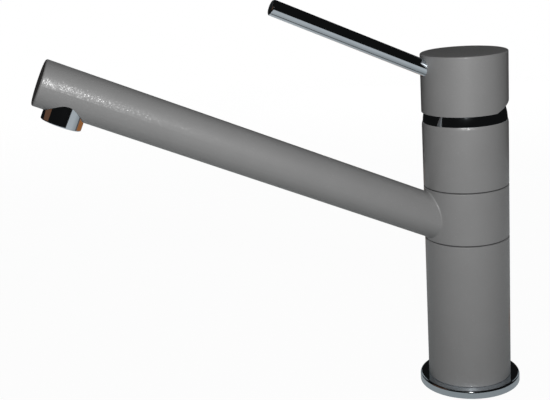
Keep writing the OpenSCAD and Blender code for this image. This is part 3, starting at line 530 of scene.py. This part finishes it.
def makeWorld():
    world = bpy.data.worlds.new("studio")
    world.use_nodes = True
    tree = world.node_tree
    tree.nodes.clear()
    light = addNode(tree, "ShaderNodeBackground", Color=toLinear(lighting["world"]))
    white = addNode(tree, "ShaderNodeBackground", Color=(1, 1, 1, 1))
    mix = addNode(tree, "ShaderNodeMixShader", {0: seenDirectly(tree)})
    tree.links.new(light.outputs[0], mix.inputs[1])
    tree.links.new(white.outputs[0], mix.inputs[2])
    out = addNode(tree, "ShaderNodeOutputWorld")
    tree.links.new(mix.outputs[0], out.inputs["Surface"])
    bpy.context.scene.world = world


# The floor: it shows white, with the tap's shadow in the share that the lamps light, and fades into the world
floorLook = {
    "size": 3000,           # mm
    "drop": 0.05,           # mm below the tap's underside
    "colour": "#A0A0A0",    # where it takes light
    "whiteShare": 0.97,
    "fadeFrom": 350,        # mm from the tap
    "fadeTo": 1200,
}


def makeFloor():
    mesh = bpy.data.meshes.new("floor")
    half = floorLook["size"] / 2 * mm
    mesh.from_pydata([(-half, -half, 0), (half, -half, 0), (half, half, 0), (-half, half, 0)], [], [(0, 1, 2, 3)])
    floor = bpy.data.objects.new("floor", mesh)
    bpy.context.scene.collection.objects.link(floor)
    floor.location.z = -floorLook["drop"] * mm
    material = bpy.data.materials.new("paleFloor")
    material.use_nodes = True
    tree = material.node_tree
    tree.nodes.clear()
    lit = addNode(tree, "ShaderNodeBsdfDiffuse", Color=toLinear(floorLook["colour"]))
    white = addNode(tree, "ShaderNodeEmission", Strength=1.0)
    share = addNode(tree, "ShaderNodeMath", {0: seenDirectly(tree), 1: floorLook["whiteShare"]}, operation="MULTIPLY")
    mix = addNode(tree, "ShaderNodeMixShader", {0: share.outputs[0]})
    tree.links.new(lit.outputs[0], mix.inputs[1])
    tree.links.new(white.outputs[0], mix.inputs[2])
    coords = addNode(tree, "ShaderNodeTexCoord").outputs["Object"]
    away = addNode(tree, "ShaderNodeVectorMath", {0: coords}, operation="LENGTH")
    fade = addNode(tree, "ShaderNodeMapRange", {"Value": away.outputs["Value"]}, interpolation_type="SMOOTHSTEP",
                   From_Min=floorLook["fadeFrom"] * mm, From_Max=floorLook["fadeTo"] * mm)
    under = addNode(tree, "ShaderNodeNewGeometry").outputs["Backfacing"]
    clear = addNode(tree, "ShaderNodeMath", {0: fade.outputs[0], 1: under}, operation="MAXIMUM")
    nothing = addNode(tree, "ShaderNodeBsdfTransparent")
    blend = addNode(tree, "ShaderNodeMixShader", {0: clear.outputs[0]})
    tree.links.new(mix.outputs[0], blend.inputs[1])
    tree.links.new(nothing.outputs[0], blend.inputs[2])
    out = addNode(tree, "ShaderNodeOutputMaterial")
    tree.links.new(blend.outputs[0], out.inputs["Surface"])
    mesh.materials.append(material)


# The room that the chrome mirrors, as the photograph's chrome does: a cool table top, dark walls and warm wood ahead
# Painted reflections: every piece here glows with a set colour and is seen only in reflections, so the chrome's dark
# and light bands are painted
room = {
    "tableRadius": 480,         # mm
    "shadedNearColour": "#969A9B",    # the table round the foot, darker there as painted shade
    "farColour": "#BCBFC0",     # and from where its fade ends
    "fade": (40, 200),          # mm from the column's axis
    "wallRadius": 1800,
    "wallDrop": 0.02,           # mm, to keep the walls' foot under the table
    # A dark glowing dome round and above: painted dark reflections in the chrome
    "wallColour": "#141414",
    "sides": 64,                # of the table and the walls
    "levels": 12,               # of the walls up to the zenith
    # A warm glowing cupboard front and board: painted wood-coloured reflections in the chrome
    "cupboard": [(-625, -1000, 400), (140, -1000, 400), (140, -1000, 885), (-625, -1000, 885)],
    "cupboardColour": "#694A38",
    "board": [(-470, -20, 0.1), (-35, 35, 0.1), (-35, 90, 0.1), (-470, 45, 0.1)],
    "boardColour": "#A0673C",
    # Two pale cards behind the tap, where the photograph's own view doesn't mirror them
    # The cards glow pale: painted light reflections in the chrome, seen from other sides
    "cards": {"mirroredLeftCard": (203, 222), "mirroredRightCard": (268, 287)},     # degrees from -Y round to +X
    "cardDistance": 1000,
    "cardHeights": (160, 760),
    "cardColour": "#8F9496",
}


def makePaintedReflection(name, vertices, faces, colour, farColour=None):
    # A painted reflection: a piece that only mirrors see, glowing with its own set colour and lighting nothing
    mesh = bpy.data.meshes.new(name)
    mesh.from_pydata([[c * mm for c in vertex] for vertex in vertices], [], faces)
    piece = bpy.data.objects.new(name, mesh)
    bpy.context.scene.collection.objects.link(piece)
    material = bpy.data.materials.new(name)
    material.use_nodes = True
    tree = material.node_tree
    tree.nodes.clear()
    coords = addNode(tree, "ShaderNodeTexCoord").outputs["Object"]
    away = addNode(tree, "ShaderNodeVectorMath", {0: coords}, operation="LENGTH").outputs["Value"]
    fade = addNode(tree, "ShaderNodeMapRange", {"Value": away}, From_Min=room["fade"][0] * mm,
                   From_Max=room["fade"][1] * mm).outputs[0]
    tint = addNode(tree, "ShaderNodeMix", {0: fade, 6: toLinear(colour), 7: toLinear(farColour or colour)},
                   data_type="RGBA")
    glow = addNode(tree, "ShaderNodeEmission", {"Color": tint.outputs[2]})
    addNode(tree, "ShaderNodeOutputMaterial", {"Surface": glow.outputs[0]})
    mesh.materials.append(material)
    piece.visible_camera = False
    piece.visible_diffuse = False
    piece.visible_shadow = False
    piece.visible_volume_scatter = False


def makeRoom():
    sides, levels = room["sides"], room["levels"]
    ring = [(math.cos(2 * math.pi * i / sides), math.sin(2 * math.pi * i / sides)) for i in range(sides)]
    table = room["tableRadius"]
    makePaintedReflection("mirroredTable", [(x * table, y * table, 0) for x, y in ring], [tuple(range(sides))],
                  room["shadedNearColour"], room["farColour"])
    wall = room["wallRadius"]
    vertices = [(x * wall, y * wall, -room["wallDrop"]) for x, y in ring]
    faces = [tuple(range(sides))]
    for level in range(1, levels):
        rise = math.pi / 2 * level / levels
        vertices += [(x * wall * math.cos(rise), y * wall * math.cos(rise), wall * math.sin(rise)) for x, y in ring]
    vertices.append((0, 0, wall))
    for level in range(levels - 1):
        low, high = level * sides, (level + 1) * sides
        faces += [(low + i, low + (i + 1) % sides, high + (i + 1) % sides, high + i) for i in range(sides)]
    last = (levels - 1) * sides
    faces += [(last + i, last + (i + 1) % sides, len(vertices) - 1) for i in range(sides)]
    makePaintedReflection("mirroredWalls", vertices, faces, room["wallColour"])
    oneFace = [(0, 1, 2, 3)]
    makePaintedReflection("mirroredCupboard", room["cupboard"], oneFace, room["cupboardColour"])
    makePaintedReflection("mirroredBoard", room["board"], oneFace, room["boardColour"])
    away, (low, high) = room["cardDistance"], room["cardHeights"]
    for name, ends in room["cards"].items():
        (ax, ay), (bx, by) = [(away * math.sin(math.radians(a)), -away * math.cos(math.radians(a))) for a in ends]
        makePaintedReflection(name, [(ax, ay, low), (bx, by, low), (bx, by, high), (ax, ay, high)], oneFace,
                      room["cardColour"])


cameraAxes = (cameraSide, cameraTop, cameraTop.cross(cameraSide))
lampPlace = eye.location.copy()
for axis, offset in zip(cameraAxes, lighting["lampOffset"]):
    lampPlace += axis * offset * mm
target = Vector(lighting["aim"]) * mm
makeLamp("lamp", lampPlace, target, lighting["lampSize"], lighting["lampLevel"], True)
makeLamp("backLamp", Vector(lighting["backPlace"]) * mm, target, lighting["backSize"], lighting["backLevel"], False)
makeWorld()
makeFloor()
makeRoom()
view = bpy.context.scene.view_settings
view.view_transform = "Standard"
print("light and stage made")
